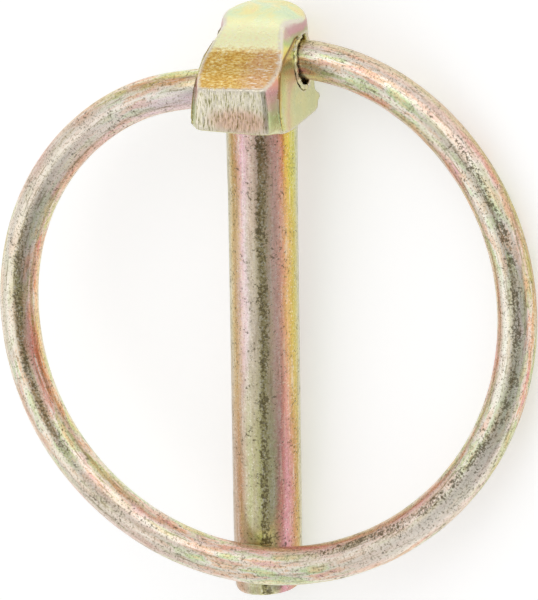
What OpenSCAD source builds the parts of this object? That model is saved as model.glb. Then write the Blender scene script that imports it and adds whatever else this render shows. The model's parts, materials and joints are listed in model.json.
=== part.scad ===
// Lynch pin: a forged pin with a sprung wire ring that snaps shut over its tip.
// The pin is drawn upright (shank down, nose forward along -Y) and then laid on its back, the way it rests on a table.

/* [Shank] */
// Diameter of the round shank
shank_d = 6; // [5.8:0.1:6.3]
// Length of the shank, from the underside of the head to the tip
shank_len = 43.4; // [43:0.1:48]
// How far the forging swells the shank close under the head, on the radius
neck_swell = 0.07; // [0:0.01:0.15]
// Length of the slight lead-in taper at the tip
lead_len = 6; // [5.5:0.1:7]
// How much the lead-in takes off the radius at the tip
lead_in = 0.06; // [0.03:0.01:0.12]
// Slant of the sheared tip, in degrees
tip_slant = 5; // [0:1:8]
// Edge break round the tip
tip_break = 0.35; // [0.1:0.05:0.6]

/* [Head] */
// Height of the head above its underside
head_h = 9.1; // [9:0.1:9.6]
// How far the nose reaches forward of the shank's axis
nose_reach = 7.8; // [7.5:0.1:8.4]
// Width of the nose at its sheared front
nose_w = 6.9; // [6.4:0.1:7.1]
// Distance between the two coined side faces, at the foot of the head
cheek_w = 8.4; // [8.2:0.1:8.8]
// Draft of the coined side faces, in degrees
cheek_draft = 6; // [5:0.2:8]
// Width across the shoulders, where the nose is widest
shoulder_w = 8.9; // [8.8:0.1:9.2]
// Radius of the rounded back of the head, at its foot
back_r = 4.52; // [4.44:0.02:4.6]
// Draft of the back, in degrees
draft = 6.5; // [5:0.5:7]
// Radius of the rounded edge round the crown
crown_r = 1.3; // [1:0.1:1.6]
// Radius of the crown's fore-and-aft curve
crown_curve = 7.6; // [7.2:0.1:8]
// Radius of the crown's curve from side to side
crown_camber = 8; // [7:0.5:12]
// Radius of the hollow thumb saddle between crown and nose
saddle_r = 6.3; // [6:0.1:6.6]
// How far the top of the head is forged out of true, higher on the right, in degrees
top_tilt = 3.5; // [0:0.5:5]
// How far the top of the head is forged off to the right
top_drift = 0.3; // [0:0.05:0.4]
// Radius of the small lip that the dies leave at the foot of the back
lip_r = 5.3; // [5.2:0.05:5.5]

/* [Cross hole] */
// Diameter of the hole that takes both ring ends
hole_d = 4.5; // [4.4:0.05:4.7]
// Height of the hole's middle above the underside of the head
hole_z = 3.15; // [3:0.05:3.4]
// How far the hole's axis lies behind the shank's axis
hole_y = 0.3; // [0:0.1:0.6]
// Slant of the hole, which sets one ring end higher than the other, in degrees
hole_slant = 20; // [18:0.5:22]

/* [Ring] */
// Diameter of the spring wire
wire_d = 3.36; // [3:0.02:3.4]
// Size of the ring, as a factor on all its bends
ring_scale = 1; // [0.98:0.01:1.02]
// Gap left between the shut ring and the shank
shut_gap = 0.06; // [0.04:0.01:0.2]
// Depth to which the ring ends reach, measured from the middle of the head
end_gap = 1.7; // [1.4:0.1:2.2]

/* [Resting on a table] */
// Pitch of the shank when the pin lies on the lip of its head and its tip, in degrees
rest_pitch = 3.24; // [0:0.01:6]
// Roll about the shank until the ring touches the table, in degrees
rest_roll = 13.32; // [0:0.01:20]
// Where the middle of the head's underside lies, in X, Y and Z
rest_place = [-0.914, 17.207, 5.304]; // [-20:0.001:20]

/* [Hidden] */
$fn = 64;
shank_r = shank_d / 2;
wire_r = wire_d / 2;
tip_r = shank_r - lead_in;
neck_len = 8;                       // length over which the swell under the head fades out
foot_z = -0.35;                     // the underside slopes down a little behind the nose
nose_top = 3.95;                    // height of the sheared front face
lip_w = 7.9;
plating = [0.80, 0.77, 0.58];
wire_colour = [0.79, 0.80, 0.68];

// Radius of the crown's body with height: drafted, then rounded in towards the top.
crown_y = 0.4;                      // the body's middle lies a little behind the shank's axis
function drift(z) = top_drift * pow(max(z, 0) / head_h, 2);
crown_z = head_h - crown_r;
function round_in(z) = z <= crown_z ? 0 : crown_r - sqrt(max(0, pow(crown_r, 2) - pow(z - crown_z, 2)));
function body_r(z) = back_r - z * tan(draft) - round_in(z);
crown_levels = [foot_z, 3, crown_z, head_h - crown_r * 0.65, head_h - crown_r * 0.4, head_h - crown_r * 0.2, head_h - crown_r * 0.07];

// Sections of the nose: height, half width at the front, half width at the shoulder, the shoulder's Y and half width at the hole.
nose_levels = [
    [foot_z, nose_w / 2, shoulder_w / 2, -5.1, 4.45],
    [2, nose_w / 2 - 0.05, shoulder_w / 2 - 0.2, -5.3, 4.25],
    [nose_top, nose_w / 2 - 0.35, shoulder_w / 2 - 0.5, -5.3, 4.05],
    [5.3, nose_w / 2 - 0.85, shoulder_w / 2 - 0.85, -4.9, 3.9],
    [6.4, 2.2, shoulder_w / 2 - 1.2, -4.2, 3.7],
    [7.6, 1.6, shoulder_w / 2 - 1.75, -2.9, 2.5],
    [head_h, 1, shoulder_w / 2 - 2.2, -1.2, 2.2],
];

module section_disc(x, y, z, r) {
    translate([x, y, z]) cylinder(r = r, h = 0.02, $fn = 32);
}

// Body under the crown: round at the back, squared a little towards the nose.
module crown_blank() {
    hull() for (z = crown_levels) translate([drift(z), crown_y, z]) {
        cylinder(r = body_r(z), h = 0.02, $fn = 64);
        for (side = [-1, 1]) section_disc(side * (body_r(z) - 1.9), -1.6, 0, 1.2);
    }
}

// Nose block, widest at the shoulders and leaning in towards its top.
module nose_blank() {
    hull() for (s = nose_levels) translate([drift(s[0]), 0, s[0]]) for (side = [-1, 1]) {
        section_disc(side * (s[1] - 0.5), 0.5 - nose_reach, 0, 0.5);
        section_disc(side * (s[2] - 0.8), s[3], 0, 0.8);
        section_disc(side * (s[4] - 0.8), 0, 0, 0.8);
    }
}

// Side view of the head's top as Y and Z: the curved crown runs into the hollow saddle.
module top_side() {
    difference() {
        union() {
            translate([1.6, head_h - crown_curve]) circle(r = crown_curve, $fn = 180);
            translate([-nose_reach - 1, foot_z - 2]) square([nose_reach + 9, nose_top + 4.4]);
        }
        translate([-nose_reach - 1.7, nose_top + saddle_r * 0.957]) circle(r = saddle_r, $fn = 180);
    }
}

// Front view of the head's top as X and Z: cambered from side to side.
module top_front() {
    translate([0, head_h - crown_camber]) circle(r = crown_camber, $fn = 180);
    translate([-7, -5]) square([14, 10]);
}

// Side view of the underside, which rises from the shank to the nose.
module underside() {
    polygon([[-20, 0], [-nose_reach, 0], [-shank_r - 1, foot_z], [20, foot_z], [20, foot_z - 5], [-20, foot_z - 5]]);
}

module along_x(w) {
    rotate([90, 0, 90]) linear_extrude(height = w, center = true) children();
}

// Coined flat on the right side of the head, open at the back and below.
module cheek_cut() {
    translate([cheek_w / 2, 0, 0]) rotate([0, -cheek_draft, 0]) rotate([90, 0, 90]) linear_extrude(height = 5) hull() {
        translate([-3.5, 3.4]) circle(r = 2.55);
        translate([-4.2, foot_z - 2]) circle(r = 1);
        translate([8, foot_z - 4]) square([1, 10.4 - foot_z]);
    }
}

// Lip of flash at the foot of the back.
module back_lip() {
    intersection() {
        rotate_extrude() polygon([[0, foot_z], [lip_r - 0.1, foot_z], [lip_r, foot_z + 0.1], [lip_r, 0.75], [lip_r - 0.15, 1.05], [back_r - 0.3, 1.75], [0, 1.75]]);
        translate([-lip_w / 2, 0.5, -5]) cube([lip_w, 10, 10]);
    }
}

module cross_hole() {
    translate([0, hole_y, hole_z]) rotate([0, 90 - hole_slant, 0]) cylinder(d = hole_d, h = 30, center = true);
}

module shank() {
    difference() {
        rotate_extrude() polygon([
            [0, -shank_len - 1], [tip_r, -shank_len - 1], [tip_r, -shank_len], [shank_r, -shank_len + lead_len], [shank_r, -neck_len], [shank_r + neck_swell, -1.4],
            [shank_r + neck_swell + 0.12, -0.75], [shank_r + neck_swell + 0.45, foot_z], [shank_r + neck_swell + 0.45, 0.5], [0, 0.5]]);
        // Sheared, slightly slanted tip with its edge broken.
        translate([0, 0, -shank_len]) rotate([0, -tip_slant, 0]) difference() {
            translate([0, 0, tip_break - 5]) cube([20, 20, 10], center = true);
            cylinder(r1 = tip_r - tip_break, r2 = tip_r + tip_break, h = 2 * tip_break);
        }
    }
}

module pin_upright() {
    difference() {
        union() {
            difference() {
                intersection() {
                    union() {
                        crown_blank();
                        nose_blank();
                    }
                    rotate([0, -top_tilt, 0]) along_x(20) top_side();
                    rotate([90, 0, 0]) linear_extrude(height = 30, center = true) top_front();
                }
                along_x(20) underside();
                for (side = [0, 1]) mirror([side, 0, 0]) cheek_cut();
            }
            back_lip();
            shank();
        }
        cross_hole();
    }
}

// The ring is bent from its lowest point up both sides. Each bend is [radius, angle]; a negative pair bends the other way.
right_bends = [[23.6 * ring_scale, 50], [22.7 * ring_scale, 50], [21.9 * ring_scale, 45], [19.6 * ring_scale, 31], [3.5, 4 + hole_slant]];
left_bends = [[22.8 * ring_scale, 50], [21.7 * ring_scale, 50], [19.0 * ring_scale, 45], [17.3 * ring_scale, 23]];
function heading(bends, i) = i == 0 ? 0 : heading(bends, i - 1) + bends[i - 1][1];
function arc_step(r, a, h) = [r * (sin(h + a) - sin(h)), r * (cos(h) - cos(h + a))];
function reach(bends, i) = i == 0 ? [0, 0] : reach(bends, i - 1) + arc_step(bends[i - 1][0], bends[i - 1][1], heading(bends, i - 1));
right_end = reach(right_bends, len(right_bends));
left_end = reach(left_bends, len(left_bends));
left_heading = heading(left_bends, len(left_bends));

// The lowest point of the ring, with the ring still upright in the plane of the hinge axis.
ring_x = 0.3;
ring_z = hole_z + (right_end[0] + ring_x) * tan(hole_slant) + 0.23 - right_end[1];

// Turn about the hinge that brings the wire against the front of the shank.
drop = (hole_z - ring_z) * cos(hole_slant) + ring_x * sin(hole_slant);
shut_turn = asin((hole_y + shank_r + wire_r + shut_gap) / drop);

// Stations along one side of the ring, from its lowest point to the end of its last bend, each as [x, z, heading].
bend_steps = 12;
function stations(bends) = concat(
    [for (i = [0 : len(bends) - 1]) for (k = [0 : bend_steps - 1])
        let (h = heading(bends, i), a = bends[i][1] * k / bend_steps, p = reach(bends, i) + arc_step(bends[i][0], a, h))
        [p[0], p[1], h + a]],
    [for (over = [0, 0.8]) let (p = reach(bends, len(bends)), h = heading(bends, len(bends)))
        [p[0] + over * cos(h), p[1] + over * sin(h), h]]);
right_side = stations(right_bends);
left_side = stations(left_bends);
wire_path = concat([for (i = [len(left_side) - 1 : -1 : 1]) [-left_side[i][0], left_side[i][1], -left_side[i][2]]], right_side);

// The wire itself: a round section carried along the whole path.
wire_facets = 28;
module wire() {
    n = wire_facets;
    r = (wire_r + 0.008) / cos(180 / n);
    points = [for (p = wire_path) for (t = [0 : n - 1])
        let (u = r * cos(360 * t / n), v = r * sin(360 * t / n)) [p[0] - u * sin(p[2]), v, p[1] + u * cos(p[2])]];
    last = len(wire_path) - 1;
    polyhedron(points = points, faces = concat(
        [[for (t = [n - 1 : -1 : 0]) t]],
        [[for (t = [0 : n - 1]) last * n + t]],
        [for (i = [0 : last - 1]) for (t = [0 : n - 1]) let (a = i * n + t, b = i * n + (t + 1) % n) [a, b + n, a + n]],
        [for (i = [0 : last - 1]) for (t = [0 : n - 1]) let (a = i * n + t, b = i * n + (t + 1) % n) [a, b, b + n]]));
}

// Straight round end of the wire, which turns in the cross hole.
module ring_end(end, turn, length) {
    translate([end[0], 0, end[1]]) rotate([0, 90 - turn, 0]) cylinder(r = wire_r, h = length);
}

module ring_upright() {
    right_straight = (right_end[0] + ring_x - end_gap) / cos(hole_slant);
    left_straight = (left_end[0] - ring_x - end_gap) / -cos(left_heading);
    translate([0, hole_y, hole_z]) rotate([0, -hole_slant, 0]) rotate([-shut_turn, 0, 0]) rotate([0, hole_slant, 0]) translate([0, -hole_y, -hole_z])
        translate([ring_x, hole_y, ring_z]) {
            wire();
            ring_end(right_end, 180 + hole_slant, right_straight);
            mirror([1, 0, 0]) ring_end(left_end, left_heading, left_straight);
        }
}

// Laid on its back: the head's lip and the tip carry it, the nose and the ring face up.
module at_rest() {
    translate(rest_place) rotate([0, rest_roll, 0]) rotate([-90 + rest_pitch, 0, 0]) children();
}

module pin() {
    color(plating) at_rest() pin_upright();
}

module ring() {
    color(wire_colour) at_rest() ring_upright();
}

pin();
ring();
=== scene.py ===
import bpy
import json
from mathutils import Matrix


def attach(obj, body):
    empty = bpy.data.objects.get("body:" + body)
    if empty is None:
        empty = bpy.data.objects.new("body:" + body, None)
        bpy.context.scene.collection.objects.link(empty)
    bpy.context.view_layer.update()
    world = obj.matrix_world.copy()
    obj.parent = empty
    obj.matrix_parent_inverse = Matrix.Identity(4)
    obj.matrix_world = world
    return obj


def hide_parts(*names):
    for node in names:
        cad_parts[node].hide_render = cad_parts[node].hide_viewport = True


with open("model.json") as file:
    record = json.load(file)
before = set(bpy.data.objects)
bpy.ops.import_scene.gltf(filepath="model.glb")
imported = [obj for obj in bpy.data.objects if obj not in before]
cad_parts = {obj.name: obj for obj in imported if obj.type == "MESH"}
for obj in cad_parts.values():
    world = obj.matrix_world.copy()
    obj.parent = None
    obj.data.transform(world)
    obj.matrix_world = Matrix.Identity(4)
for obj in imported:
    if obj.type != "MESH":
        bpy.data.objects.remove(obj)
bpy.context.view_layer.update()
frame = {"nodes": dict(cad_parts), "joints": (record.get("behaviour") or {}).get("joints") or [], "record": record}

import json
import math

import bmesh
import bpy
from bpy.props import FloatProperty, FloatVectorProperty, PointerProperty
from mathutils import Matrix, Vector, noise

bl_info = {
    "name": "Lynch pin",
    "version": (1, 0, 0),
    "blender": (4, 5, 0),
    "location": "3D View > Sidebar > Lynch pin",
    "description": "Dresses a forged lynch pin and its sprung wire ring in yellow chromate over zinc",
    "category": "Object",
}

MM = 0.001


# The forging's own frame: Z up along the shank towards the head, X along the hinge, nose forward along -Y.
# It is read from the shank mount and the ring's hinge. Its origin is the middle of the head's underside.
HOLE_Y = 0.3        # the cross hole lies this far behind the shank's axis, in mm
HOLE_Z = 3.15       # and this far above the head's underside
SLANT = math.radians(20.0)      # the hole's right end is high
HOLE = Vector((0, HOLE_Y, HOLE_Z))
HINGE = Vector((math.cos(SLANT), 0, math.sin(SLANT)))


def forging_frame():
    """Matrix that takes the forging's own frame in millimetres to the part's frame in metres."""
    joint = next(j for j in frame["joints"] if j["name"] == "ring_swing")
    mount = next(m for m in frame["record"]["mounts"] if m["name"] == "shank")
    up = -Vector(mount["axis"]).normalized()
    hinge = -Vector(joint["axis"]).normalized()
    across = (hinge - up * hinge.dot(up)).normalized()
    back = up.cross(across)
    turn = Matrix((across, back, up)).transposed()
    origin = Vector(joint["pos_m"]) - turn @ HOLE * MM
    return Matrix.Translation(origin) @ turn.to_4x4() @ Matrix.Scale(MM, 4)


FORGING = forging_frame()


# Small helpers.

def linear(hex_colour):
    """Linear RGBA of an sRGB hex colour."""
    channels = [int(hex_colour[i:i + 2], 16) / 255 for i in (1, 3, 5)]
    return tuple(c / 12.92 if c <= 0.04045 else ((c + 0.055) / 1.055) ** 2.4 for c in channels) + (1.0,)


def add_node(tree, kind, settings=None, inputs=None):
    """Adds a shader node with its settings and links.

    Inputs go by name or number. Each is a value, a socket, or a node to link from by its first live output.
    """
    node = tree.nodes.new("ShaderNode" + kind)
    for name, value in (settings or {}).items():
        if name == "stops":     # a colour ramp's stops, as (position, hex colour)
            stops = node.color_ramp.elements
            while len(stops) < len(value):
                stops.new(1.0)
            for stop, (position, colour) in zip(stops, value):
                stop.position, stop.color = position, linear(colour)
        else:
            setattr(node, name, value)
    for name, value in (inputs or {}).items():
        if isinstance(value, bpy.types.Node):
            value = next(socket for socket in value.outputs if socket.enabled)
        if isinstance(value, bpy.types.NodeSocket):
            tree.links.new(value, node.inputs[name])
        else:
            node.inputs[name].default_value = value
    return node


def new_material(name):
    """A material with an empty node tree and its output node."""
    old = bpy.data.materials.get(name)
    if old:
        bpy.data.materials.remove(old)
    material = bpy.data.materials.new(name)
    material.use_nodes = True
    material.node_tree.nodes.clear()
    return material, add_node(material.node_tree, "OutputMaterial")


def link_piece(name, bm, body, replaced, material):
    bmesh.ops.transform(bm, matrix=FORGING, verts=bm.verts)
    bmesh.ops.recalc_face_normals(bm, faces=bm.faces)
    mesh = bpy.data.meshes.new(name)
    bm.to_mesh(mesh)
    bm.free()
    mesh.polygons.foreach_set("use_smooth", [True] * len(mesh.polygons))
    mesh.materials.append(material)
    piece = bpy.data.objects.new(name, mesh)
    bpy.context.scene.collection.objects.link(piece)
    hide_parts(*replaced)
    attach(piece, body)
    return piece


# Materials.

# Settings of nodes: a map range with soft ends, and a mix of two colours.
SMOOTH = {"interpolation_type": "SMOOTHSTEP"}
COLOURS = {"data_type": "RGBA"}

# The film's colours round the shank, near the head, along it and near its tip. The front is at 0.5, the
# right side at 0.75, the back at 0 and 1, and the left side at 0.25. In the neck's and shank's colours the
# darker stops from 0.532 to 0.552 are a painted dark reflection.
NECK_FILM_AND_REFLECTION = (
    (0.000, "#cfc79c"), (0.100, "#d9b4a4"), (0.220, "#d6d3a4"), (0.310, "#c9c08f"), (0.350, "#beb697"),
    (0.384, "#cfb57a"), (0.412, "#d9ab72"), (0.432, "#dfb096"), (0.455, "#e9bfc8"), (0.480, "#dfbcb6"),
    (0.505, "#e3c6b0"), (0.524, "#e6c6b8"), (0.532, "#a88a66"), (0.552, "#b59874"), (0.566, "#d9b298"),
    (0.600, "#efbbaf"), (0.632, "#efae9c"), (0.644, "#e6a06c"), (0.660, "#f3c868"), (0.690, "#dfd15c"),
    (0.724, "#dbd77a"), (0.765, "#dde2c0"), (0.850, "#d9cfa0"), (0.930, "#dab7a6"), (1.000, "#cfc79c"),
)
SHANK_FILM_AND_REFLECTION = (
    (0.000, "#cfd0a6"), (0.120, "#d8b7ac"), (0.240, "#d9ca94"), (0.320, "#c6bf9c"), (0.350, "#c9bf9a"),
    (0.384, "#e0c68b"), (0.415, "#ecca9d"), (0.445, "#ebcbca"), (0.465, "#ebd7d6"), (0.480, "#ccc0b0"),
    (0.500, "#e2d3be"), (0.522, "#eddfbc"), (0.532, "#b6a97c"), (0.551, "#cabd8c"), (0.570, "#ecd3b3"),
    (0.600, "#efc8bc"), (0.630, "#edb6a4"), (0.648, "#f1ba98"), (0.664, "#eabb80"), (0.699, "#dcc05f"),
    (0.730, "#dccf7a"), (0.765, "#dfdcba"), (0.860, "#cfd2a6"), (0.930, "#d9b6b0"), (1.000, "#cfd0a6"),
)
TIP_FILM = (
    (0.000, "#cdd2a2"), (0.120, "#d9b09f"), (0.240, "#d2c08c"), (0.320, "#c0a384"), (0.350, "#bda68e"),
    (0.384, "#cfa98a"), (0.410, "#dcb393"), (0.440, "#d2bfa6"), (0.470, "#c7c697"), (0.495, "#c7bd98"),
    (0.520, "#dfdc9e"), (0.535, "#c6bf88"), (0.561, "#e0daa4"), (0.585, "#d2cea4"), (0.603, "#d0b49c"),
    (0.620, "#d49d9c"), (0.645, "#e2a5ae"), (0.668, "#da9c98"), (0.699, "#d9a475"), (0.728, "#d9b96c"),
    (0.765, "#e0dabb"), (0.860, "#cdd2a2"), (0.930, "#dcbf92"), (1.000, "#cdd2a2"),
)
# The film's colours round the wire: where it is thin, where it is thick, on the right side and at the left
# end. The outer side is at 0.5, the front at 0.75, the inner side at 0 and 1, and the back at 0.25.
WIRE_FILM = (
    (0.000, "#e9ccbc"), (0.030, "#e5ccba"), (0.100, "#dfd0b2"), (0.180, "#e2bcb5"), (0.280, "#dbd2b9"),
    (0.380, "#e5c8ac"), (0.460, "#dec0a0"), (0.500, "#dec6a8"), (0.540, "#e0caa6"), (0.575, "#dfbcac"),
    (0.610, "#dfc4ba"), (0.650, "#edd4c6"), (0.710, "#eedecf"), (0.760, "#dfd0be"), (0.800, "#f4dcd0"),
    (0.840, "#ecccb7"), (0.880, "#f4c0c1"), (0.915, "#e9b2ad"), (0.950, "#e2a495"), (0.980, "#daac8f"),
    (1.000, "#e9ccbc"),
)
# Its darker stops from 0.772 to 0.835 are a painted dark reflection.
THICK_WIRE_FILM_AND_REFLECTION = (
    (0.000, "#f6c179"), (0.040, "#f6d9b4"), (0.120, "#e9e1b2"), (0.200, "#f0bab0"), (0.300, "#ebe5be"),
    (0.400, "#f9cd95"), (0.470, "#e4b461"), (0.500, "#deb85b"), (0.530, "#eeb77f"), (0.560, "#e7b6a4"),
    (0.600, "#e4c8af"), (0.650, "#fcecdb"), (0.700, "#fcf2e2"), (0.745, "#f3e1c4"), (0.772, "#ccb68a"),
    (0.805, "#b6a171"), (0.835, "#d6b093"), (0.872, "#f3b1a6"), (0.900, "#de7b6c"), (0.925, "#ce664e"),
    (0.950, "#ea9050"), (0.975, "#f6b866"), (1.000, "#f6c179"),
)
# Its near-white stops from 0.632 to 0.821 are a painted highlight.
RIGHT_WIRE_FILM_AND_HIGHLIGHT = (
    (0.000, "#dea573"), (0.060, "#e6cbab"), (0.160, "#e3d6a9"), (0.300, "#deca92"), (0.420, "#cdab4a"),
    (0.490, "#bfa137"), (0.520, "#c9a54b"), (0.562, "#e2a48f"), (0.600, "#e5aca4"), (0.632, "#f9e3d5"),
    (0.663, "#fcede3"), (0.692, "#fcf3e4"), (0.721, "#fcedd2"), (0.751, "#f5edd2"), (0.783, "#fcfaed"),
    (0.821, "#fcf1e6"), (0.850, "#f6cfc3"), (0.880, "#e79f94"), (0.930, "#d2886b"), (1.000, "#dea573"),
)
END_WIRE_FILM = (
    (0.000, "#ead2a6"), (0.060, "#e4c6cc"), (0.160, "#dcd6c0"), (0.300, "#d8bfa8"), (0.400, "#d9cf9a"),
    (0.500, "#dfd78e"), (0.575, "#e2bd68"), (0.615, "#cc873a"), (0.655, "#cf9650"), (0.685, "#e8cdb0"),
    (0.720, "#f0e6e0"), (0.790, "#ecd9de"), (0.850, "#ead2da"), (0.910, "#e6c2cf"), (0.955, "#e8c2b4"),
    (1.000, "#ead2a6"),
)
# Clouds of film thickness on the crown, and its scuffed front.
CROWN_FILM = (
    (0.30, "#efd6ae"), (0.40, "#f0e6a6"), (0.47, "#e6e6b0"), (0.53, "#dce8bd"), (0.62, "#d5e6c3"),
    (0.70, "#e3e5b0"), (0.80, "#eddca4"),
)
CROWN_FRONT_FILM = (
    (0.34, "#fff3c8"), (0.44, "#fffac8"), (0.54, "#fdffca"), (0.62, "#fffcd2"), (0.70, "#fffae0"),
)
# The thumb saddle, by how scuffed it is.
SADDLE_FILM = (
    (0.30, "#b98744"), (0.42, "#cfa04c"), (0.50, "#deb661"), (0.58, "#e8ca80"), (0.68, "#f0dfa8"),
)
# The flanks, from the head's foot to its crown.
FLANK_FILM = (
    (0.00, "#dfdcae"), (0.10, "#d3dba4"), (0.20, "#bfcd96"), (0.28, "#c6b99b"), (0.38, "#cf9f9d"),
    (0.46, "#dfa288"), (0.50, "#efbd7c"), (0.56, "#f8d483"), (0.65, "#eadd76"), (0.71, "#a9bf74"),
    (0.76, "#b9b08c"), (0.80, "#cb9fa0"), (0.88, "#c9aba4"), (1.00, "#dcd0a2"),
)
# The coined side faces, from their edge inwards.
CHEEK_FILM = (
    (0.00, "#d2a45c"), (0.08, "#e0c874"), (0.18, "#d5d890"), (0.34, "#e2dc98"), (0.46, "#e5d29e"),
    (0.56, "#e2c49c"), (0.66, "#e0d59c"), (0.82, "#d9daa4"), (1.00, "#ebdf9c"),
)
# The sheared nose, from its dirty marks to its bright ones.
SHEARED_FILM = (
    (0.34, "#857f54"), (0.41, "#c6c094"), (0.47, "#ebe3c8"), (0.56, "#f8efe0"), (0.66, "#ece6c4"),
)
# Small patches of the film's other orders along the wire.
WIRE_TINTS = (
    (0.30, "#ec9bb0"), (0.41, "#f6c899"), (0.48, "#fbf4ea"), (0.56, "#c8eaaa"), (0.62, "#efe9a8"),
    (0.70, "#fad892"),
)
# Near-white painted highlights on the wire's front: how far along it in mm, half that length, where round
# it, half that width, and how strong.
PAINTED_HIGHLIGHTS = ((-48.0, 13.0, 0.80, 0.12, 0.45), (20.0, 12.0, 0.67, 0.10, 0.7))


class PlatingSettings(bpy.types.PropertyGroup):
    """Colours of the plating on both pieces."""
    film: FloatVectorProperty(
        name="Film tint", description="Tint over all the film's colours",
        subtype="COLOR", size=4, min=0, max=1, default=linear("#ffffff"))
    zinc: FloatVectorProperty(
        name="Bare zinc", description="Colour where the film is worn off",
        subtype="COLOR", size=4, min=0, max=1, default=linear("#e2dacb"))
    dirt: FloatVectorProperty(
        name="Dirt", description="Colour in the pits",
        subtype="COLOR", size=4, min=0, max=1, default=linear("#5d5236"))


def plated_metal(material, out, colour, coords, drawn, streaks, wear, painted_dark_band):
    """Finishes a plating: pits, light specks, draw marks and wear over the film's colour."""
    plating = bpy.context.scene.lynch_plating
    tree = material.node_tree
    # Pits and salt-like specks of 0.1 to 0.2 mm, at their real size, crowded along the painted dark band.
    fine = add_node(tree, "TexNoise",
        inputs={"Vector": coords, "Scale": 4.2, "Detail": 4.0, "Roughness": 0.75})
    broad = add_node(tree, "TexNoise", inputs={"Vector": coords, "Scale": 0.7, "Detail": 2.0})
    crowd = add_node(tree, "Math", {"operation": "MULTIPLY_ADD"}, {0: broad, 1: 0.3, 2: fine})
    crowd = add_node(tree, "Math", {"operation": "MULTIPLY_ADD"}, {0: painted_dark_band, 1: 0.12, 2: crowd})
    pits = add_node(tree, "MapRange", SMOOTH, {0: crowd, 1: 0.73, 2: 0.81})
    # The drawing die left lines about 0.2 mm wide and 3 mm long: some hold dirt, others are rubbed bright.
    long = add_node(tree, "Mapping", inputs={0: drawn, "Scale": (1, 1, 0.3)})
    lines = add_node(tree, "TexNoise",
        inputs={"Vector": long, "Scale": 3.6, "Detail": 4.0, "Roughness": 0.7})
    # Along the painted dark band the lines hold a little more dirt, and below the specks crowd there too.
    lines = add_node(tree, "Math", {"operation": "MULTIPLY_ADD"}, {0: painted_dark_band, 1: 0.05, 2: lines})
    dirt = add_node(tree, "MapRange", SMOOTH, {0: lines, 1: 0.54, 2: 0.68, 3: 0.0, 4: 0.6})
    dirt = add_node(tree, "Math", {"operation": "MULTIPLY"}, {0: dirt, 1: streaks})
    bright = add_node(tree, "MapRange", SMOOTH, {0: lines, 1: 0.47, 2: 0.34, 3: 0.0, 4: 0.7})
    bright = add_node(tree, "Math", {"operation": "MULTIPLY"}, {0: bright, 1: streaks})
    specks = add_node(tree, "TexNoise",
        inputs={"Vector": coords, "Scale": 5.0, "Detail": 3.0, "Roughness": 0.7})
    grain = add_node(tree, "MapRange", SMOOTH, {0: specks, 1: 0.47, 2: 0.34, 3: 0.0, 4: 0.6})
    grain = add_node(tree, "Math", {"operation": "MULTIPLY"}, {0: grain, 1: streaks})
    specks = add_node(tree, "Math", {"operation": "MULTIPLY_ADD"}, {0: painted_dark_band, 1: 0.05, 2: specks})
    specks = add_node(tree, "MapRange", SMOOTH, {0: specks, 1: 0.56, 2: 0.66, 3: 0.0, 4: 0.6})
    colour = add_node(tree, "Mix", {**COLOURS, "blend_type": "MULTIPLY"},
        {0: 1.0, 6: colour, 7: plating.film})
    colour = add_node(tree, "Mix", COLOURS, {0: dirt, 6: colour, 7: linear("#8a7a52")})
    colour = add_node(tree, "Mix", COLOURS, {0: bright, 6: colour, 7: linear("#f4ecdf")})
    colour = add_node(tree, "Mix", COLOURS, {0: grain, 6: colour, 7: linear("#8d7f5e")})
    colour = add_node(tree, "Mix", COLOURS, {0: specks, 6: colour, 7: linear("#f4f0e2")})
    sunk = add_node(tree, "Math", {"operation": "MULTIPLY"}, {0: pits, 1: 0.8})
    colour = add_node(tree, "Mix", COLOURS, {0: sunk, 6: colour, 7: plating.dirt})
    colour = add_node(tree, "Mix", COLOURS, {0: wear, 6: colour, 7: plating.zinc})
    gloss = add_node(tree, "MapRange", inputs={0: broad, 1: 0.3, 2: 0.7, 3: 0.22, 4: 0.34})
    gloss = add_node(tree, "Math", {"operation": "MULTIPLY_ADD"}, {0: pits, 1: 0.25, 2: gloss})
    relief = add_node(tree, "Math", {"operation": "MULTIPLY_ADD"}, {0: pits, 1: -1.0, 2: fine})
    bump = add_node(tree, "Bump", inputs={"Strength": 0.6, "Distance": 0.009 * MM, "Height": relief})
    shader = add_node(tree, "BsdfPrincipled", inputs={
        "Base Color": colour, "Metallic": 1.0, "Roughness": gloss, "Normal": bump})
    tree.links.new(shader.outputs[0], out.inputs[0])


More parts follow.
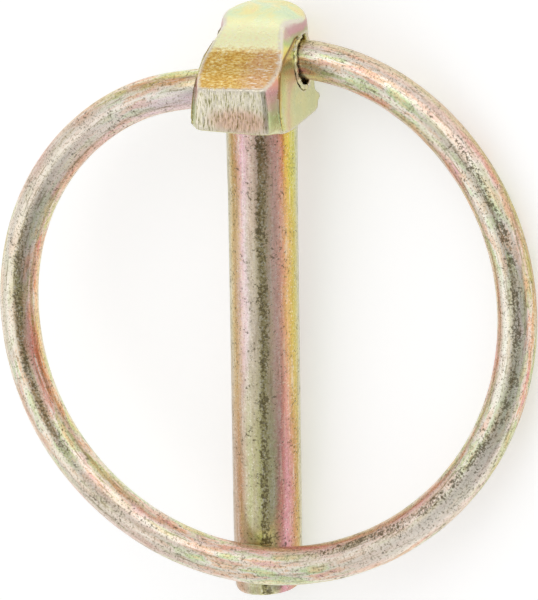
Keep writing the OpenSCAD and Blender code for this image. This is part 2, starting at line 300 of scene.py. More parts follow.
def forging_plating():
    """Yellow chromate over zinc on a drop forging.

    A clear film a few hundred nanometres thick on bright zinc, so its colour runs in iridescent bands from
    straw over orange and mauve to green. It wears off the edges, which show bare silvery zinc.
    """
    material, out = new_material("Chromated forging")
    tree = material.node_tree
    place = add_node(tree, "Attribute", {"attribute_name": "forged"}).outputs["Vector"]
    worn = add_node(tree, "Attribute", {"attribute_name": "worn"}).outputs["Fac"]
    sheared = add_node(tree, "Attribute", {"attribute_name": "sheared"}).outputs["Fac"]
    cheek = add_node(tree, "Attribute", {"attribute_name": "cheek"}).outputs["Fac"]
    top = add_node(tree, "Attribute", {"attribute_name": "top"}).outputs["Fac"]
    x, y, z = add_node(tree, "SeparateXYZ", inputs={0: place}).outputs
    drawn = add_node(tree, "Mapping", inputs={0: place, "Scale": (1, 1, 0.22)})

    # Bands round the shank, which wander a little along it.
    ahead = add_node(tree, "Math", {"operation": "MULTIPLY"}, {0: y, 1: -1.0})
    angle = add_node(tree, "Math", {"operation": "ARCTAN2"}, {0: x, 1: ahead})
    angle = add_node(tree, "Math", {"operation": "MULTIPLY_ADD"}, {0: angle, 1: 1 / math.tau, 2: 0.5})
    wander = add_node(tree, "TexNoise",
        inputs={"Vector": drawn, "Scale": 0.55, "Detail": 5.0, "Roughness": 0.6})
    wander = add_node(tree, "MapRange", {"clamp": False}, {0: wander, 1: 0.5, 2: 0.7, 3: 0.0, 4: 0.01})
    angle = add_node(tree, "Math", {"operation": "ADD"}, {0: angle, 1: wander})
    ragged = add_node(tree, "TexNoise", inputs={"Vector": place, "Scale": 3.0, "Detail": 3.0})
    ragged = add_node(tree, "MapRange", {"clamp": False}, {0: ragged, 1: 0.5, 2: 0.7, 3: 0.0, 4: 0.008})
    angle = add_node(tree, "Math", {"operation": "ADD"}, {0: angle, 1: ragged})
    neck = add_node(tree, "ValToRGB", {"stops": NECK_FILM_AND_REFLECTION}, {0: angle})
    upper = add_node(tree, "ValToRGB", {"stops": SHANK_FILM_AND_REFLECTION}, {0: angle})
    lower = add_node(tree, "ValToRGB", {"stops": TIP_FILM}, {0: angle})
    drift = add_node(tree, "TexNoise", inputs={"Vector": drawn, "Scale": 0.4, "Detail": 2.0})
    drift = add_node(tree, "Math", {"operation": "MULTIPLY_ADD"}, {0: drift, 1: 16.0, 2: z})
    below_neck = add_node(tree, "MapRange", SMOOTH, {0: drift, 1: 5.0, 2: -4.0})
    thicker = add_node(tree, "MapRange", SMOOTH, {0: drift, 1: -10.0, 2: -24.0})
    shank = add_node(tree, "Mix", COLOURS, {0: below_neck, 6: neck, 7: upper})
    shank = add_node(tree, "Mix", COLOURS, {0: thicker, 6: shank, 7: lower})

    # Clouds of film thickness on the head.
    clouds = add_node(tree, "TexNoise",
        inputs={"Vector": place, "Scale": 0.3, "Detail": 4.0, "Roughness": 0.6, "Distortion": 0.8})
    crown = add_node(tree, "ValToRGB", {"stops": CROWN_FILM}, {0: clouds})
    streaks = add_node(tree, "Mapping", inputs={0: place, "Scale": (0.9, 1.6, 1.6)})
    scuffs = add_node(tree, "TexNoise",
        inputs={"Vector": streaks, "Scale": 3.4, "Detail": 3.0, "Roughness": 0.6})
    forward = add_node(tree, "MapRange", SMOOTH, {0: y, 1: -0.6, 2: -3.0})
    front = add_node(tree, "ValToRGB", {"stops": CROWN_FRONT_FILM}, {0: scuffs})
    crown = add_node(tree, "Mix", COLOURS, {0: forward, 6: crown, 7: front})
    thumb = add_node(tree, "ValToRGB", {"stops": SADDLE_FILM}, {0: scuffs})
    to_right = add_node(tree, "Math", {"operation": "MULTIPLY_ADD"}, {0: clouds, 1: 5.0, 2: x})
    copper = add_node(tree, "MapRange", SMOOTH, {0: to_right, 1: 2.6, 2: 5.2, 3: 0.0, 4: 0.5})
    thumb = add_node(tree, "Mix", COLOURS, {0: copper, 6: thumb, 7: linear("#d29c82")})
    # Bright scratches of up to 1 mm, drawn across the saddle by whatever pushed on it at the right.
    scratches = add_node(tree, "Mapping", inputs={0: place, "Scale": (1.0, 6.5, 6.5)})
    scratches = add_node(tree, "TexNoise", inputs={"Vector": scratches, "Scale": 1.4, "Detail": 2.0})
    scratches = add_node(tree, "MapRange", SMOOTH, {0: scratches, 1: 0.57, 2: 0.66, 3: 0.0, 4: 1.6})
    scratches = add_node(tree, "Math", {"operation": "MULTIPLY"}, {0: scratches, 1: copper})
    thumb = add_node(tree, "Mix", COLOURS, {0: scratches, 6: thumb, 7: linear("#faf0e2")})
    # The flanks run through the film's orders upwards: green, mauve, orange, yellow, green and mauve again.
    rise = add_node(tree, "Math", {"operation": "MULTIPLY_ADD"}, {0: clouds, 1: 3.0, 2: z})
    rise = add_node(tree, "MapRange", inputs={0: rise, 1: 1.2, 2: 11.2})
    flank = add_node(tree, "ValToRGB", {"stops": FLANK_FILM}, {0: rise})
    flats = add_node(tree, "Math", {"operation": "MULTIPLY_ADD"}, {0: clouds, 1: 2.4, 2: cheek})
    flats = add_node(tree, "MapRange", inputs={0: flats, 1: 1.0, 2: 6.0})
    flats = add_node(tree, "ValToRGB", {"stops": CHEEK_FILM}, {0: flats})
    on_flat = add_node(tree, "MapRange", SMOOTH, {0: cheek, 1: 0.0, 2: 0.06})
    # A dark painted shadow line along the coined face's curved edge, where its step would shade it.
    painted_edge_shadow = add_node(tree, "Math", {"operation": "ABSOLUTE"}, {0: cheek})
    painted_edge_shadow = add_node(tree, "MapRange", SMOOTH, {0: painted_edge_shadow, 1: 0.2, 2: 0.06, 3: 0.0, 4: 0.85})
    shear = add_node(tree, "Mapping", inputs={0: place, "Scale": (7.4, 1.0, 1.1)})
    marks = add_node(tree, "TexNoise",
        inputs={"Vector": shear, "Scale": 1.5, "Detail": 4.0, "Roughness": 0.65})
    cut = add_node(tree, "ValToRGB", {"stops": SHEARED_FILM}, {0: marks})
    patch = add_node(tree, "Mapping",
        inputs={0: place, "Location": (-0.35, 0.0, -0.95), "Scale": (0.4, 0.0, 0.85)})
    patch = add_node(tree, "VectorMath", {"operation": "LENGTH"}, {0: patch})
    patch = add_node(tree, "Math", {"operation": "MULTIPLY_ADD"}, {0: clouds, 1: 0.8, 2: patch})
    patch = add_node(tree, "MapRange", SMOOTH, {0: patch, 1: 1.75, 2: 0.95, 3: 0.0, 4: 0.65})
    blush = add_node(tree, "Mix", {**COLOURS, "blend_type": "MULTIPLY"},
        {0: patch, 6: cut, 7: linear("#e3b4a8")})

    # The saddle starts at a clear line where the thumb rubs, and the other regions meet in soft edges.
    ahead_of = add_node(tree, "Math", {"operation": "MULTIPLY_ADD"}, {0: scuffs, 1: 0.5, 2: y})
    saddle = add_node(tree, "MapRange", SMOOTH, {0: ahead_of, 1: -3.6, 2: -4.25})
    head = add_node(tree, "Mix", COLOURS, {0: saddle, 6: crown, 7: thumb})
    head = add_node(tree, "Mix", COLOURS, {0: top, 6: flank, 7: head})
    head = add_node(tree, "Mix", COLOURS, {0: on_flat, 6: head, 7: flats})
    head = add_node(tree, "Mix", COLOURS, {0: painted_edge_shadow, 6: head, 7: linear("#8e6a35")})
    head = add_node(tree, "Mix", COLOURS, {0: sheared, 6: head, 7: blush})
    on_head = add_node(tree, "MapRange", SMOOTH, {0: z, 1: -1.2, 2: -0.4})
    colour = add_node(tree, "Mix", COLOURS, {0: on_head, 6: shank, 7: head})

    # A painted dark reflection runs down the shank's front, and the pits, draw lines and specks crowd along it.
    dark = add_node(tree, "Math", {"operation": "SUBTRACT"}, {0: angle, 1: 0.545})
    dark = add_node(tree, "Math", {"operation": "ABSOLUTE"}, {0: dark})
    dark = add_node(tree, "MapRange", SMOOTH, {0: dark, 1: 0.03, 2: 0.012})
    off_head = add_node(tree, "Math", {"operation": "SUBTRACT"}, {0: 1.0, 1: on_head})
    dark = add_node(tree, "Math", {"operation": "MULTIPLY"}, {0: dark, 1: off_head})
    dark = add_node(tree, "Math", {"operation": "MULTIPLY_ADD"}, {0: on_head, 1: -0.8, 2: dark})
    streaks = add_node(tree, "Math", {"operation": "MULTIPLY"}, {0: off_head, 1: 0.6})
    # Some film is left on the worn edges, in patches of about 0.3 mm.
    left = add_node(tree, "TexNoise",
        inputs={"Vector": place, "Scale": 2.2, "Detail": 4.0, "Roughness": 0.7})
    left = add_node(tree, "MapRange", SMOOTH, {0: left, 1: 0.68, 2: 0.5})
    wear = add_node(tree, "Math", {"operation": "MULTIPLY"}, {0: worn, 1: left})
    plated_metal(material, out, colour, place, drawn, streaks, wear, dark)
    return material


def wire_plating():
    """Yellow chromate over zinc on drawn spring wire: the same film, in bands that run along the wire."""
    material, out = new_material("Chromated spring wire")
    tree = material.node_tree
    wire = add_node(tree, "Attribute", {"attribute_name": "wire"}).outputs["Vector"]
    x, y, z = add_node(tree, "SeparateXYZ", inputs={0: wire}).outputs
    drawn = add_node(tree, "Mapping", inputs={0: wire, "Scale": (1, 1, 0.22)})
    ahead = add_node(tree, "Math", {"operation": "MULTIPLY"}, {0: y, 1: -1.0})
    angle = add_node(tree, "Math", {"operation": "ARCTAN2"}, {0: ahead, 1: x})
    angle = add_node(tree, "Math", {"operation": "MULTIPLY_ADD"}, {0: angle, 1: 1 / math.tau, 2: 0.5})
    wander = add_node(tree, "TexNoise",
        inputs={"Vector": drawn, "Scale": 0.5, "Detail": 5.0, "Roughness": 0.6})
    wander = add_node(tree, "MapRange", {"clamp": False}, {0: wander, 1: 0.5, 2: 0.7, 3: 0.0, 4: 0.03})
    angle = add_node(tree, "Math", {"operation": "ADD"}, {0: angle, 1: wander})
    thin = add_node(tree, "ValToRGB", {"stops": WIRE_FILM}, {0: angle})
    thick = add_node(tree, "ValToRGB", {"stops": THICK_WIRE_FILM_AND_REFLECTION}, {0: angle})
    # The film is thickest half way up both sides, where the ring hung in the bath.
    height = add_node(tree, "Math", {"operation": "SUBTRACT"}, {0: z, 1: 3.5})
    height = add_node(tree, "Math", {"operation": "ABSOLUTE"}, {0: height})
    height = add_node(tree, "Math", {"operation": "SUBTRACT"}, {0: height, 1: 35.0})
    height = add_node(tree, "Math", {"operation": "ABSOLUTE"}, {0: height})
    patches = add_node(tree, "TexNoise", inputs={"Vector": drawn, "Scale": 0.5, "Detail": 3.0})
    height = add_node(tree, "Math", {"operation": "MULTIPLY_ADD"}, {0: patches, 1: -24.0, 2: height})
    thickness = add_node(tree, "MapRange", SMOOTH, {0: height, 1: 6.0, 2: -6.0})
    at_left_end = add_node(tree, "MapRange", SMOOTH, {0: z, 1: -48.0, 2: -60.0})
    golden = add_node(tree, "ValToRGB", {"stops": END_WIRE_FILM}, {0: angle})
    on_right = add_node(tree, "MapRange", SMOOTH, {0: z, 1: -6.0, 2: 10.0})
    right = add_node(tree, "ValToRGB", {"stops": RIGHT_WIRE_FILM_AND_HIGHLIGHT}, {0: angle})
    thick = add_node(tree, "Mix", COLOURS, {0: on_right, 6: thick, 7: right})
    bands = add_node(tree, "Mix", COLOURS, {0: thickness, 6: thin, 7: thick})
    bands = add_node(tree, "Mix", COLOURS, {0: at_left_end, 6: bands, 7: golden})
    clouds = add_node(tree, "TexNoise",
        inputs={"Vector": drawn, "Scale": 1.1, "Detail": 5.0, "Roughness": 0.62})
    tint = add_node(tree, "ValToRGB", {"stops": WIRE_TINTS}, {0: clouds})
    patchy = add_node(tree, "TexNoise", inputs={"Vector": drawn, "Scale": 0.35, "Detail": 2.0})
    patchy = add_node(tree, "MapRange", SMOOTH, {0: patchy, 1: 0.38, 2: 0.62, 3: 0.15, 4: 0.7})
    colour = add_node(tree, "Mix", COLOURS, {0: patchy, 6: bands, 7: tint})
    # Lay the near-white painted highlights on the wire's front.
    for along, length, middle, width, highlight_strength in PAINTED_HIGHLIGHTS:
        near = add_node(tree, "Math", {"operation": "SUBTRACT"}, {0: z, 1: along})
        near = add_node(tree, "Math", {"operation": "ABSOLUTE"}, {0: near})
        near = add_node(tree, "MapRange", SMOOTH, {0: near, 1: length, 2: 0.4 * length, 4: highlight_strength})
        across = add_node(tree, "Math", {"operation": "SUBTRACT"}, {0: angle, 1: middle})
        across = add_node(tree, "Math", {"operation": "ABSOLUTE"}, {0: across})
        across = add_node(tree, "MapRange", SMOOTH, {0: across, 1: width, 2: 0.4 * width})
        pale = add_node(tree, "Math", {"operation": "MULTIPLY"}, {0: near, 1: across})
        colour = add_node(tree, "Mix", COLOURS, {0: pale, 6: colour, 7: linear("#fdf3e6")})
    # A painted dark reflection follows the wire's front, where the pits and draw lines crowd. On the right it
    # turns from the inner side to the middle.
    low_line = add_node(tree, "MapRange", inputs={0: z, 1: -12.0, 2: 4.0, 3: 0.795, 4: 0.85})
    line = add_node(tree, "MapRange", inputs={0: z, 1: 12.0, 2: 30.0, 3: low_line, 4: 0.70})
    dark = add_node(tree, "Math", {"operation": "SUBTRACT"}, {0: angle, 1: line})
    dark = add_node(tree, "Math", {"operation": "ABSOLUTE"}, {0: dark})
    dark = add_node(tree, "MapRange", SMOOTH, {0: dark, 1: 0.06, 2: 0.015})
    from_middle = add_node(tree, "Math", {"operation": "SUBTRACT"}, {0: z, 1: 29.0})
    from_middle = add_node(tree, "Math", {"operation": "ABSOLUTE"}, {0: from_middle})
    band_reach = add_node(tree, "MapRange", SMOOTH, {0: from_middle, 1: 27.0, 2: 17.0})
    band_reach = add_node(tree, "Math", {"operation": "MAXIMUM"}, {0: band_reach, 1: thickness})
    dark = add_node(tree, "Math", {"operation": "MULTIPLY"}, {0: dark, 1: band_reach})
    plated_metal(material, out, colour, wire, drawn, 1.15, 0.0, dark)
    return material


class PinSettings(bpy.types.PropertyGroup):
    """Sizes of the forged pin's surface."""
    cell: FloatProperty(
        name="Cell", description="Size of the mesh cells on the head", default=0.108 * MM, unit="LENGTH")
    softening: FloatProperty(
        name="Softening", description="How far the forging's edges are rounded",
        default=0.25 * MM, unit="LENGTH")
    groove: FloatProperty(
        name="Groove", description="Depth of the shear marks on the nose", default=0.03 * MM, unit="LENGTH")
    pit: FloatProperty(
        name="Pit", description="Depth of the pits in the plating", default=0.02 * MM, unit="LENGTH")


NECK_Z = -2.0           # below this height the shank is plain, and its cells are drawn out along it
NECK_CELLS = 0.4        # the plain shank is shortened to this share while the cells are made
HEAD_FOOT = -0.7        # above this height the head has its own forms and wear
SOFT_TIP = -42.0        # edges are rounded on the shank's end, below this height
SOFT_HEAD = -0.6        # and on the head, above this one
NOSE_FOOT_Y = -6.2      # the nose's lower edge lies ahead of this, and is rounded the most
NOSE_FOOT_TOP = 0.7
SHANK_PROFILE = ((-43.4, 2.94), (-37.4, 3.0), (-8.0, 3.0), (-1.4, 3.07), (-0.75, 3.19))
HOLE_R = 2.25
BURR_R = 2.07           # radius of the burr's crest
BURR_SECTION_R = 0.14
BURR_ARC = math.radians(178)
BURR_STEPS = 72
WIRE_SWEEP_R = {1: 1.93, -1: 2.14}     # by side: the wire turns inside these radii, the burr stays outside
NOSE_TOP = 3.95
CHEEK_X = 4.2
CHEEK_DRAFT = math.tan(math.radians(6.0))
CHEEK_CENTRE = (-3.5, 3.4)      # y and z of the centre of the coined face's curved corner
CHEEK_R = 2.55
CHEEK_TOP = Vector((-0.324, 0.946))     # directions outwards across the coined face's upper and front edges
CHEEK_FRONT = Vector((-0.924, 0.383))
PLAIN_SHANK = (-42.6, -0.8)     # between these heights the shank is brought back to its turned profile


def between(value, low, high):
    """Smooth step from 0 at low to 1 at high."""
    t = min(1.0, max(0.0, (value - low) / (high - low)))
    return t * t * (3 - 2 * t)


def inside_cheek(y, z):
    """Distance inwards from the curved edge of the coined side face, in mm. It is negative outside."""
    arm = Vector((y - CHEEK_CENTRE[0], z - CHEEK_CENTRE[1]))
    corner = (CHEEK_TOP + CHEEK_FRONT).normalized()
    if arm.length > 0.01 and arm.normalized().dot(corner) > CHEEK_TOP.dot(corner):
        return CHEEK_R - arm.length
    return CHEEK_R - max(arm.dot(CHEEK_TOP), arm.dot(CHEEK_FRONT))


def shank_radius(z):
    """Radius of the shank at a height, in mm."""
    for (low, r_low), (high, r_high) in zip(SHANK_PROFILE, SHANK_PROFILE[1:]):
        if z <= high:
            return r_low + (r_high - r_low) * max(0.0, (z - low) / (high - low))
    return SHANK_PROFILE[-1][1]


def even_cells(bm, cell):
    """Remeshes the forging with even square cells, and with longer ones down the plain shank."""
    geom = bm.verts[:] + bm.edges[:] + bm.faces[:]
    bmesh.ops.bisect_plane(bm, geom=geom, dist=1e-5, plane_co=(0, 0, NECK_Z), plane_no=(0, 0, 1))
    shorter = Matrix.Diagonal((1, 1, NECK_CELLS, 1))
    neck = Matrix.Translation((0, 0, NECK_Z)) @ shorter @ Matrix.Translation((0, 0, -NECK_Z))
    bmesh.ops.transform(bm, matrix=neck, verts=[v for v in bm.verts if v.co.z < NECK_Z])
    mesh = bpy.data.meshes.new("forging")
    bm.to_mesh(mesh)
    bm.clear()
    rough = bpy.data.objects.new("forging", mesh)
    bpy.context.scene.collection.objects.link(rough)
    voxels = rough.modifiers.new("even cells", "REMESH")
    voxels.mode, voxels.voxel_size = "VOXEL", cell
    bpy.context.view_layer.update()
    even = bpy.data.meshes.new_from_object(rough.evaluated_get(bpy.context.evaluated_depsgraph_get()))
    bm.from_mesh(even)
    bpy.data.objects.remove(rough)
    bpy.data.meshes.remove(mesh)
    bpy.data.meshes.remove(even)
    bmesh.ops.transform(bm, matrix=neck.inverted(), verts=[v for v in bm.verts if v.co.z < NECK_Z])


def soften_edges(bm, passes):
    """Rounds the edges as hammer scale and tumbling do. Returns how far each point moved inwards, in mm."""
    bm.verts.index_update()
    before = [v.co.copy() for v in bm.verts]
    head = [v for v in bm.verts if v.co.z > SOFT_HEAD or v.co.z < SOFT_TIP]
    lower_nose = [v for v in head if SOFT_HEAD < v.co.z < NOSE_FOOT_TOP and v.co.y < NOSE_FOOT_Y]
    for verts, times in ((head, passes), (lower_nose, 4 * passes)):
        for _ in range(times):
            bmesh.ops.smooth_vert(
                bm, verts=verts, factor=0.5, use_axis_x=True, use_axis_y=True, use_axis_z=True)
    bm.normal_update()
    return [(place - v.co).dot(v.normal) for v, place in zip(bm.verts, before)]


def turn_burr(side):
    """The thin burr that the drill left round the front of the hole, laid on the coined side face."""
    up = Vector((-math.sin(SLANT), 0, math.cos(SLANT)))
    bm = bmesh.new()
    frame_of_section = Matrix((HINGE, up, Vector((0, -1, 0)))).transposed().to_4x4()
    start = Matrix.Translation(HOLE + up * HOLE_R) @ frame_of_section
    section = bmesh.ops.create_circle(bm, segments=8, radius=BURR_SECTION_R, matrix=start)
    edges = bm.edges[:]
    spun = bmesh.ops.spin(
        bm, geom=section["verts"] + edges, cent=HOLE, axis=HINGE, angle=BURR_ARC, steps=BURR_STEPS)
    bmesh.ops.contextual_create(bm, geom=edges)
    last = [g for g in spun["geom_last"] if isinstance(g, bmesh.types.BMEdge)]
    bmesh.ops.contextual_create(bm, geom=last)
    for v in bm.verts:
        arm = v.co - HOLE
        along = arm.dot(HINGE)
        across = arm - HINGE * along
        ragged = 1 + 0.7 * noise.noise(v.co * 2.1) + 0.6 * noise.noise(v.co * 5.0)
        offset = across.length - HOLE_R
        offset *= 2.2 if offset > 0 else 0.8 * ragged
        radius = BURR_R + 0.14 * noise.noise(v.co * 1.8) + offset
        foot = HOLE + across.normalized() * max(radius, WIRE_SWEEP_R[side])
        struck = side * (CHEEK_X - CHEEK_DRAFT * foot.z)
        reach = (struck - foot.x) / (HINGE.x + side * CHEEK_DRAFT * HINGE.z)
        v.co = foot + HINGE * (reach + side * 0.04 + along * ragged)
    bmesh.ops.recalc_face_normals(bm, faces=bm.faces)
    mesh = bpy.data.meshes.new("burr")
    bm.to_mesh(mesh)
    bm.free()
    return mesh


class OBJECT_OT_lynch_pin(bpy.types.Operator):
    """Takes the forging from the solid, and gives it its rounded edges, shear marks, burr and pits"""
    bl_idname = "object.lynch_pin"
    bl_label = "Forged pin"

    def execute(self, context):
        settings = context.scene.lynch_pin
        cell, groove, pit = settings.cell / MM, settings.groove / MM, settings.pit / MM
        bm = bmesh.new()
        bm.from_mesh(frame["nodes"]["pin"].data)
        bmesh.ops.transform(bm, matrix=FORGING.inverted(), verts=bm.verts)
        bmesh.ops.remove_doubles(bm, verts=bm.verts, dist=0.001)
        even_cells(bm, cell)
        if not bm.verts:
            raise RuntimeError("the forging has no surface")
        moved = soften_edges(bm, max(2, round(2 * (settings.softening / MM / cell) ** 2)))
        for side in (1, -1):
            burr = turn_burr(side)
            bm.from_mesh(burr)
            bpy.data.meshes.remove(burr)
        place = bm.verts.layers.float_vector.new("forged")
        worn = bm.verts.layers.float.new("worn")
        sheared = bm.verts.layers.float.new("sheared")
        cheek = bm.verts.layers.float.new("cheek")
        top = bm.verts.layers.float.new("top")
        for index, v in enumerate(bm.verts):
            if index >= len(moved):
                v[place], v[cheek] = v.co, inside_cheek(v.co.y, v.co.z)
                v[worn] = 0.4 * between(-(v.co - HOLE).cross(HINGE).length, -BURR_R - 0.16, -BURR_R - 0.06)
                continue
            x, y, z = v.co
            normal = v.normal.copy()
            if PLAIN_SHANK[0] < z < PLAIN_SHANK[1]:
                scale = shank_radius(z) / math.hypot(x, y)
                v.co.x, v.co.y = x * scale, y * scale
            # The coined faces are struck last, so they are flat up to a crisp edge.
            v[cheek] = -0.5
            struck = CHEEK_X - z * CHEEK_DRAFT
            if z > HEAD_FOOT and abs(normal.x) > 0.55 and abs(abs(x) - struck) < 0.2:
                v[cheek] = max(-0.5, min(inside_cheek(y, z), 4.0))
                if v[cheek] > 0 and abs(normal.x) > 0.9:
                    v.co.x = math.copysign(struck, x)
            v[place] = v.co
            v[sheared] = between(-normal.y, 0.6, 0.85) * between(-y, 6.6, 6.9)
            v[top] = between(normal.z, 0.3, 0.65) * between(z, 1.0, 2.0)
            crease = between(abs(normal.x), 0.42, 0.6) * between(-abs(normal.x), -0.9, -0.72)
            crease *= between(z, 5.0, 6.0) * between(-y, -1.5, 0.5) * between(normal.z, 0.2, 0.35)
            v[worn] = max(between(moved[index], 0.02, 0.06), crease) if z > HEAD_FOOT else 0.0
            v[worn] *= 1 - 0.8 * between(-y, 6.0, 6.6) * between(-z, 0.8 - NOSE_TOP, 1.2 - NOSE_TOP)
            sink = pit * between(noise.noise(v.co * 2.6), 0.4, 0.7) * between(z, -1.0, 0.0)
            if v[sheared]:
                mark = abs(noise.noise(Vector((x * 3.8, z * 0.9, 1.7))))
                tear = abs(noise.noise(Vector((x * 1.1 + 9, z * 0.8, 4.1))))
                marks = (1 - between(mark, 0.0, 0.1)) + 0.5 * (1 - between(tear, 0.0, 0.08))
                sink += v[sheared] * groove * marks
            v.co -= normal * sink
        rubbed = [v for v in bm.verts if v.co.z > HEAD_FOOT]
        for _ in range(2):
            spread = [max(0.85 * e.other_vert(v)[worn] for e in v.link_edges) for v in rubbed]
            for v, reach in zip(rubbed, spread):
                v[worn] = max(v[worn], reach)
        link_piece("pin_forging", bm, "pin", ["pin"], forging_plating())
        return {"FINISHED"}


class RingSettings(bpy.types.PropertyGroup):
    """Sizes of the wire ring."""
    wire: FloatProperty(
        name="Wire", description="Diameter of the spring wire", default=3.36 * MM, unit="LENGTH")


RING_X = 0.3            # the lowest point lies this far to the right of the shank's axis, in mm
END_GAP = 1.7           # how close the wire ends come to the middle of the hole
SHUT_GAP = 0.06         # between the shut ring and the shank
END_RISE = 0.23         # the right wire end starts this far above the hole's axis
END_BREAK = 0.25        # length of the broken edge on each wire end
END_SHRINK = 0.84       # and its width as a share of the wire's
FACET = 0.45            # length of the wire's facets
SHANK_R = 3.0
# Each side's bends, from the lowest point upwards, as (radius in mm, degrees).
RIGHT_BENDS = ((23.6, 50), (22.7, 50), (21.9, 45), (19.6, 31), (3.5, 24))
LEFT_BENDS = ((22.8, 50), (21.7, 50), (19.0, 45), (17.3, 23))


def sweep_bends(bm, ring_edges, bends, side, coord):
    """Spins the section through one side's bends. Returns the end's section, place, heading and run."""
    place, heading, run = Vector((0, 0, 0)), 0.0, 0.0
    section = list(ring_edges)
    for radius, angle in bends:
        centre = place + Vector((-side * radius * math.sin(heading), 0, radius * math.cos(heading)))
        turn = math.radians(angle)
        steps = max(6, round(radius * turn / FACET))
        known = set(bm.verts)
        geom = section + list({v for e in section for v in e.verts})
        spun = bmesh.ops.spin(bm, geom=geom, cent=centre, axis=(0, -side, 0), angle=turn, steps=steps)
        for v in set(bm.verts) - known:
            arm = v.co - centre
            bent = (math.atan2(side * arm.x, -arm.z) - heading) % math.tau
            v[coord] = (math.hypot(arm.x, arm.z) - radius, v.co.y, side * (run + radius * bent))
        section = [g for g in spun["geom_last"] if isinstance(g, bmesh.types.BMEdge)]
        heading += turn
        run += radius * turn
        place = centre + Vector((side * radius * math.sin(heading), 0, -radius * math.cos(heading)))
    return section, place, heading, run


def extend_end(bm, section, heading, side, run, length, coord):
    """Straight end of the wire, with its sheared edge broken."""
    along = Vector((side * math.cos(heading), 0, math.sin(heading)))
    for step, shrink in ((length - END_BREAK, 1.0), (END_BREAK, END_SHRINK)):
        grown = bmesh.ops.extrude_edge_only(bm, edges=section)
        verts = [g for g in grown["geom"] if isinstance(g, bmesh.types.BMVert)]
        edges = [g for g in grown["geom"] if isinstance(g, bmesh.types.BMEdge)]
        section = [e for e in edges if all(v in verts for v in e.verts)]
        middle = sum((v.co for v in verts), Vector()) / len(verts)
        bmesh.ops.scale(bm, vec=(shrink,) * 3, space=Matrix.Translation(-middle), verts=verts)
        bmesh.ops.translate(bm, vec=along * step, verts=verts)
        run += step
        for v in verts:
            v[coord] = (v[coord][0], v[coord][1], side * run)
    bmesh.ops.contextual_create(bm, geom=section)


class OBJECT_OT_lynch_ring(bpy.types.Operator):
    """Bends the wire ring from its lowest point up both sides into the cross hole"""
    bl_idname = "object.lynch_ring"
    bl_label = "Wire ring"

    def execute(self, context):
        wire_r = context.scene.lynch_ring.wire / MM / 2
        bm = bmesh.new()
        coord = bm.verts.layers.float_vector.new("wire")
        upright = Matrix.Rotation(math.pi / 2, 4, "Y")
        start = bmesh.ops.create_circle(bm, segments=56, radius=wire_r, matrix=upright)
        ring_edges = list({e for v in start["verts"] for e in v.link_edges})
        for v in start["verts"]:
            v[coord] = (-v.co.z, v.co.y, 0)
        ends = {}
        for side, bends in ((1, RIGHT_BENDS), (-1, LEFT_BENDS)):
            ends[side] = sweep_bends(bm, ring_edges, bends, side, coord)
        right, left = ends[1], ends[-1]
        lengths = {
            1: (right[1].x + RING_X - END_GAP) / math.cos(SLANT),
            -1: (-left[1].x - RING_X - END_GAP) / -math.cos(left[2]),
        }
        for side, (section, place, heading, run) in ends.items():
            extend_end(bm, section, heading, side, run, lengths[side], coord)
        # Hang the ring in the slanted hole, and turn it until it lies against the front of the shank.
        low = HOLE_Z + (right[1].x + RING_X) * math.tan(SLANT) + END_RISE - right[1].z
        drop = (HOLE_Z - low) * math.cos(SLANT) + RING_X * math.sin(SLANT)
        shut = math.asin((HOLE_Y + SHANK_R + wire_r + SHUT_GAP) / drop)
        to_hole = Matrix.Translation(HOLE)
        swing = to_hole @ Matrix.Rotation(-shut, 4, HINGE) @ to_hole.inverted()
        bmesh.ops.transform(bm, matrix=swing @ Matrix.Translation((RING_X, HOLE_Y, low)), verts=bm.verts)
        link_piece("ring_wire", bm, "ring", ["ring"], wire_plating())
        return {"FINISHED"}


class OBJECT_OT_lynch_stage(bpy.types.Operator):
    """Sets the floor, the soft lights and the camera"""
    bl_idname = "object.lynch_stage"
    bl_label = "Stage"

    def execute(self, context):
        make_floor()
        make_lights()
        make_camera()
        context.scene.view_settings.view_transform = "Standard"
        return {"FINISHED"}


def make_floor():
    """Plain pale floor just under the part."""
    bm = bmesh.new()
    bmesh.ops.create_grid(bm, x_segments=1, y_segments=1, size=3.0)
    bmesh.ops.translate(bm, vec=(0, 0, -0.02 * MM), verts=bm.verts)
    mesh = bpy.data.meshes.new("floor")
    bm.to_mesh(mesh)
    bm.free()
    material, out = new_material("Pale studio floor")
    tree = material.node_tree
    paint = add_node(tree, "BsdfDiffuse", inputs={"Color": linear("#e8e8e8")})
    glow = add_node(tree, "Emission", inputs={"Color": (1, 1, 1, 1)})
    path = add_node(tree, "LightPath")
    seen = add_node(tree, "Math", {"operation": "MAXIMUM"},
        {0: path.outputs["Is Camera Ray"], 1: path.outputs["Is Glossy Ray"]})
    seen = add_node(tree, "Math", {"operation": "MAXIMUM"},
        {0: seen, 1: path.outputs["Is Transmission Ray"]})
    lift = add_node(tree, "Math", {"operation": "MULTIPLY"}, {0: seen, 1: 0.4})
    tree.links.new(lift.outputs[0], glow.inputs["Strength"])
    both = add_node(tree, "AddShader", inputs={0: paint, 1: glow})
    tree.links.new(both.outputs[0], out.inputs[0])
    mesh.materials.append(material)
    floor = bpy.data.objects.new("floor", mesh)
    bpy.context.scene.collection.objects.link(floor)


def towards(azimuth, elevation):
    """Unit vector in the forging's frame, by the angle round the shank from its front and that upwards."""
    azimuth, elevation = math.radians(azimuth), math.radians(elevation)
    level = math.cos(elevation)
    return Vector((math.sin(azimuth) * level, -math.cos(azimuth) * level, math.sin(elevation)))


# Soft boxes in the forging's frame: name, azimuth, elevation, distance in mm, size in mm, and radiance over
# that of the room.
SOFT_BOXES = (
    ("left box", -44.0, -10.0, 420.0, (330.0, 330.0), 0.25),
    ("head box", 12.0, 46.0, 420.0, (520.0, 300.0), 0.55),
)
ROOM_LEVEL = 0.78
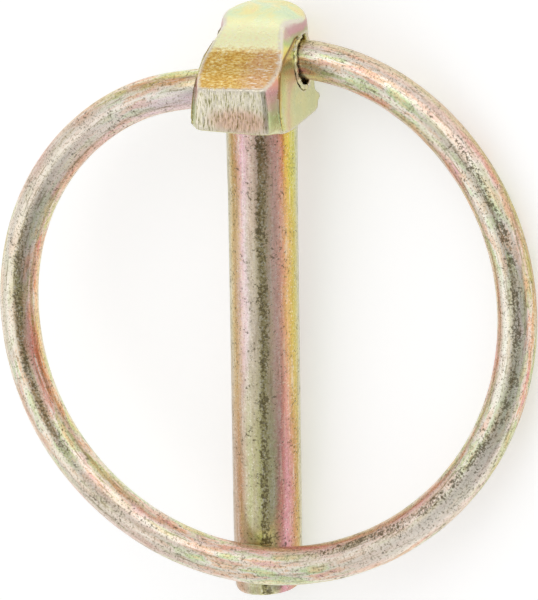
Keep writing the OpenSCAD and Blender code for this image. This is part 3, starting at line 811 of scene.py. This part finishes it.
# Dark sides of the room: azimuth, elevation, the radius of the dark core and of the whole side in degrees,
# and the share of the light that is left.
DARK_SIDES = (
    (14.0, -8.0, 6.0, 33.0, 0.46),
    (62.0, -18.0, 28.0, 42.0, 0.6),
)


def make_lights():
    """A pale room with a darker side where the camera stands, and two soft boxes."""
    turn = FORGING.to_3x3().normalized()
    world = bpy.data.worlds.new("Pale room")
    world.use_nodes = True
    tree = world.node_tree
    tree.nodes.clear()
    out = add_node(tree, "OutputWorld")
    coords = add_node(tree, "TexCoord")
    level = ROOM_LEVEL
    for azimuth, elevation, core, edge, dark in DARK_SIDES:
        aim = turn @ towards(azimuth, elevation)
        near = add_node(tree, "VectorMath", {"operation": "DOT_PRODUCT"},
            {0: coords.outputs["Generated"], 1: aim})
        side = add_node(tree, "MapRange", SMOOTH, {
            0: near, 1: math.cos(math.radians(edge)), 2: math.cos(math.radians(core)), 3: 1.0, 4: dark})
        level = add_node(tree, "Math", {"operation": "MULTIPLY"}, {0: level, 1: side})
    room = add_node(tree, "Background", inputs={"Color": (1, 1, 1, 1), "Strength": level})
    tree.links.new(room.outputs[0], out.inputs[0])
    bpy.context.scene.world = world
    for name, azimuth, elevation, distance, (width, height), radiance in SOFT_BOXES:
        lamp = bpy.data.lights.new(name, "AREA")
        lamp.shape, lamp.size, lamp.size_y = "RECTANGLE", width * MM, height * MM
        lamp.energy = radiance * math.pi * width * height * MM ** 2
        box = bpy.data.objects.new(name, lamp)
        box.matrix_world = Matrix.Translation(FORGING @ (towards(azimuth, elevation) * distance)) @ (
            turn @ towards(azimuth, elevation).to_track_quat("Z", "Y").to_matrix()).to_4x4()
        bpy.context.scene.collection.objects.link(box)


def make_camera():
    """A long lens from above, a little to the right of the nose and to the head's side."""
    data = bpy.data.cameras.new("camera")
    data.lens = LENS
    data.clip_start, data.clip_end = 0.02, 20
    camera = bpy.data.objects.new("camera", data)
    aim = Vector(AIM)
    back = towards(AZIMUTH, ELEVATION)
    right = Vector((0, 0, 1)).cross(back).normalized()
    up = back.cross(right)
    turn = Matrix((right, up, back)).transposed() @ Matrix.Rotation(math.radians(ROLL), 3, "Z")
    camera.matrix_world = (
        Matrix.Translation(FORGING @ (aim + back * DISTANCE))
        @ (FORGING.to_3x3().normalized() @ turn).to_4x4()
    )
    bpy.context.scene.collection.objects.link(camera)
    bpy.context.scene.camera = camera


# The camera in the forging's frame: the point it looks at in mm, where it stands round it, and its lens.
AIM = (0.41, 0.0, -17.0)
AZIMUTH = 19.45
ELEVATION = 18.04
DISTANCE = 459.8
ROLL = -0.85
LENS = 320.1


class VIEW3D_PT_lynch_pin(bpy.types.Panel):
    """Panel in the sidebar"""
    bl_label = "Lynch pin"
    bl_space_type = "VIEW_3D"
    bl_region_type = "UI"
    bl_category = "Lynch pin"

    def draw(self, context):
        layout = self.layout
        for name in ("cell", "softening", "groove", "pit"):
            layout.prop(context.scene.lynch_pin, name)
        layout.prop(context.scene.lynch_ring, "wire")
        for name in ("film", "zinc", "dirt"):
            layout.prop(context.scene.lynch_plating, name)
        for operator in (OBJECT_OT_lynch_pin, OBJECT_OT_lynch_ring, OBJECT_OT_lynch_stage):
            layout.operator(operator.bl_idname)


CLASSES = (
    PlatingSettings, PinSettings, RingSettings,
    OBJECT_OT_lynch_pin, OBJECT_OT_lynch_ring, OBJECT_OT_lynch_stage, VIEW3D_PT_lynch_pin,
)


def register():
    for cls in CLASSES:
        bpy.utils.register_class(cls)
    bpy.types.Scene.lynch_plating = PointerProperty(type=PlatingSettings)
    bpy.types.Scene.lynch_pin = PointerProperty(type=PinSettings)
    bpy.types.Scene.lynch_ring = PointerProperty(type=RingSettings)


def unregister():
    del bpy.types.Scene.lynch_ring
    del bpy.types.Scene.lynch_pin
    del bpy.types.Scene.lynch_plating
    for cls in reversed(CLASSES):
        bpy.utils.unregister_class(cls)


def main():
    register()
    bpy.ops.object.lynch_pin()
    bpy.ops.object.lynch_ring()
    bpy.ops.object.lynch_stage()


if __name__ == "__main__":
    main()
